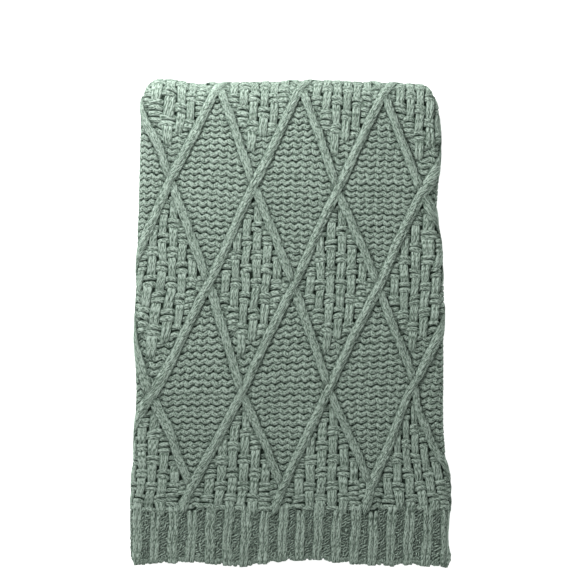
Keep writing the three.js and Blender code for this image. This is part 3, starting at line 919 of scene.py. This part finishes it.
def chenille(name, slant):
    """Soft matt sage yarn: fine streaks along each strand, turned by the slant, a shade of its own for
    each strand, painted shade that darkens to a deep green down between the strands and on their
    sides, a velvety green sheen and a fibrous bump."""
    material = bpy.data.materials.new(name)
    material.use_nodes = True
    nodes, links = material.node_tree.nodes, material.node_tree.links
    nodes.clear()
    out = nodes.new("ShaderNodeOutputMaterial")
    shader = nodes.new("ShaderNodeBsdfPrincipled")
    shader.inputs["Roughness"].default_value = 0.92
    shader.inputs["Sheen Weight"].default_value = 0.28
    shader.inputs["Sheen Roughness"].default_value = 0.45
    shader.inputs["Sheen Tint"].default_value = SHEEN_TINT
    shader.inputs["Specular IOR Level"].default_value = 0.15
    links.new(shader.outputs["BSDF"], out.inputs["Surface"])

    def noise(vector, scale, detail):
        node = nodes.new("ShaderNodeTexNoise")
        node.inputs["Scale"].default_value = scale
        node.inputs["Detail"].default_value = detail
        links.new(vector, node.inputs["Vector"])
        return node.outputs["Fac"]

    def stretched(source, scale):
        node = nodes.new("ShaderNodeMapping")
        node.inputs["Scale"].default_value = scale
        links.new(source, node.inputs["Vector"])
        return node.outputs["Vector"]

    def attribute(label):
        node = nodes.new("ShaderNodeAttribute")
        node.attribute_name = label
        return node.outputs["Fac"]

    def calculate(operation, first, second):
        node = nodes.new("ShaderNodeMath")
        node.operation = operation
        for socket, value in zip(node.inputs, (first, second)):
            if isinstance(value, (int, float)):
                socket.default_value = value
            else:
                links.new(value, socket)
        return node.outputs["Value"]

    def swing(value, size):
        """Turns a noise's middle values into a swing of this size either way."""
        node = nodes.new("ShaderNodeMapRange")
        for label, number in (("From Min", 0.3), ("From Max", 0.7), ("To Min", -size), ("To Max", size)):
            node.inputs[label].default_value = number
        links.new(value, node.inputs["Value"])
        return node.outputs["Result"]

    coordinates = nodes.new("ShaderNodeTexCoord")
    slanted = nodes.new("ShaderNodeMapping")
    slanted.inputs["Rotation"].default_value = (0, 0, slant)
    links.new(coordinates.outputs["UV"], slanted.inputs["Vector"])
    streak = noise(stretched(slanted.outputs["Vector"], STREAKS), 1.0, 0.0)
    fibre = noise(stretched(slanted.outputs["Vector"], FIBRES), 1.0, 0.0)
    speck = noise(coordinates.outputs["Object"], SPECKS, 0.0)
    cloud = noise(coordinates.outputs["Object"], CLOUDS, 2.0)

    tone = calculate("ADD", swing(streak, STREAK_SWING), swing(fibre, FIBRE_SWING))
    tone = calculate("ADD", tone, swing(speck, SPECK_SWING))
    tone = calculate("ADD", tone, calculate("MULTIPLY", attribute("shade"), SHADE_SWING))
    tone = calculate("ADD", tone, swing(cloud, CLOUD_SWING))
    ramp = nodes.new("ShaderNodeValToRGB")
    ramp.color_ramp.elements[0].color = DEEP_SAGE
    ramp.color_ramp.elements[1].color = PALE_SAGE
    ramp.color_ramp.elements.new(0.5).color = SAGE
    links.new(calculate("ADD", tone, 0.5), ramp.inputs["Fac"])
    # Painted shade: the share of painted light mixes from a shadow green to white, and the yarn's colour is
    # multiplied by it
    lit = nodes.new("ShaderNodeMix")
    lit.data_type = "RGBA"
    lit.clamp_factor = False
    lit.inputs["A"].default_value = SHADOW_GREEN
    lit.inputs["B"].default_value = FULL_LIGHT
    links.new(attribute("painted_light"), lit.inputs["Factor"])
    shaded = nodes.new("ShaderNodeMix")
    shaded.data_type = "RGBA"
    shaded.blend_type = "MULTIPLY"
    shaded.inputs["Factor"].default_value = 1.0
    links.new(ramp.outputs["Color"], shaded.inputs["A"])
    links.new(lit.outputs["Result"], shaded.inputs["B"])
    links.new(shaded.outputs["Result"], shader.inputs["Base Color"])

    bump = nodes.new("ShaderNodeBump")
    bump.inputs["Strength"].default_value = 1.0
    bump.inputs["Distance"].default_value = BUMP
    links.new(calculate("ADD", streak, fibre), bump.inputs["Height"])
    links.new(bump.outputs["Normal"], shader.inputs["Normal"])
    return material


def finish_piece(piece, material):
    """Gives a piece its yarn and lets it rest with the blanket."""
    piece.data.materials.append(material)
    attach(piece, "root")
    return piece


# Camera, floor and light


def make_camera():
    """A long lens straight above, framed as wide as the photograph."""
    data = bpy.data.cameras.new("camera")
    data.sensor_width = SENSOR
    data.lens = SENSOR * CAMERA_DISTANCE / PHOTO_WIDTH
    data.clip_end = 50.0
    camera = bpy.data.objects.new("camera", data)
    camera.location = (*PHOTO_CENTRE, TOP_OF_PACK + CAMERA_DISTANCE)
    bpy.context.scene.collection.objects.link(camera)
    bpy.context.scene.camera = camera


def make_floor():
    """A plain pale floor that the blanket lies on."""
    size = FLOOR_REACH
    corners = [(-size, -size, 0), (size, -size, 0), (size, size, 0), (-size, size, 0)]
    mesh = bpy.data.meshes.new("floor")
    mesh.from_pydata(corners, [], [(0, 1, 2, 3)])
    floor = bpy.data.objects.new("floor", mesh)
    floor.location = (0, 0, -FLOOR_DROP)
    bpy.context.scene.collection.objects.link(floor)
    material = bpy.data.materials.new("pale_floor")
    material.use_nodes = True
    shader = material.node_tree.nodes["Principled BSDF"]
    shader.inputs["Base Color"].default_value = (0.92, 0.92, 0.91, 1)
    shader.inputs["Roughness"].default_value = 0.9
    shader.inputs["Emission Color"].default_value = FULL_LIGHT
    shader.inputs["Emission Strength"].default_value = 0.80
    mesh.materials.append(material)


def make_light(name, place, aim, size, power):
    """A soft square lamp aimed at a point."""
    data = bpy.data.lights.new(name, "AREA")
    data.shape = "SQUARE"
    data.size = size
    data.energy = power
    lamp = bpy.data.objects.new(name, data)
    lamp.location = place
    away = np.array(place, dtype=float) - np.array(aim, dtype=float)
    tilt = math.acos(away[2] / np.linalg.norm(away))
    lamp.rotation_euler = (tilt, 0.0, math.atan2(away[1], away[0]) + math.pi / 2)
    lamp.visible_camera = False
    bpy.context.scene.collection.objects.link(lamp)


def make_world(strength):
    """An even pale sky that fills the shadows."""
    world = bpy.data.worlds.new("studio")
    world.use_nodes = True
    background = world.node_tree.nodes["Background"]
    background.inputs["Color"].default_value = FULL_LIGHT
    background.inputs["Strength"].default_value = strength
    bpy.context.scene.world = world


make_camera()
make_floor()
make_world(SKY)
make_light("high_lamp", place=(-0.19, 0.54, 0.34), aim=(0, 0.08, 0), size=0.25, power=2.65)
make_light("left_lamp", place=(-0.7, 0.25, 1.0), aim=(0, 0, 0), size=0.5, power=5.0)
bpy.context.scene.view_settings.view_transform = "Standard"

yarn = chenille("chenille_yarn", YARN_SLANT)
ground = chenille("chenille_ground", 0.0)

cloth = finish_piece(plain_cloth(), ground)
strands = []
for half, purl_steps, bar_steps, cross_steps, leg_steps, rib_steps, sides, channel_pitch in DETAIL:
    strands += [
        purl_courses(half, purl_steps, sides),
        basket_bars(half, bar_steps, sides),
        basket_strands(half, cross_steps, sides),
        travelling_cables(half, leg_steps, sides),
        rib_columns(half, rib_steps, sides),
        rib_channels(half, channel_pitch, CHANNEL_LANES),
    ]
strands += [cast_on_edges(), free_edges()]
for piece in strands:
    finish_piece(piece, yarn)

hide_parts("blanket")
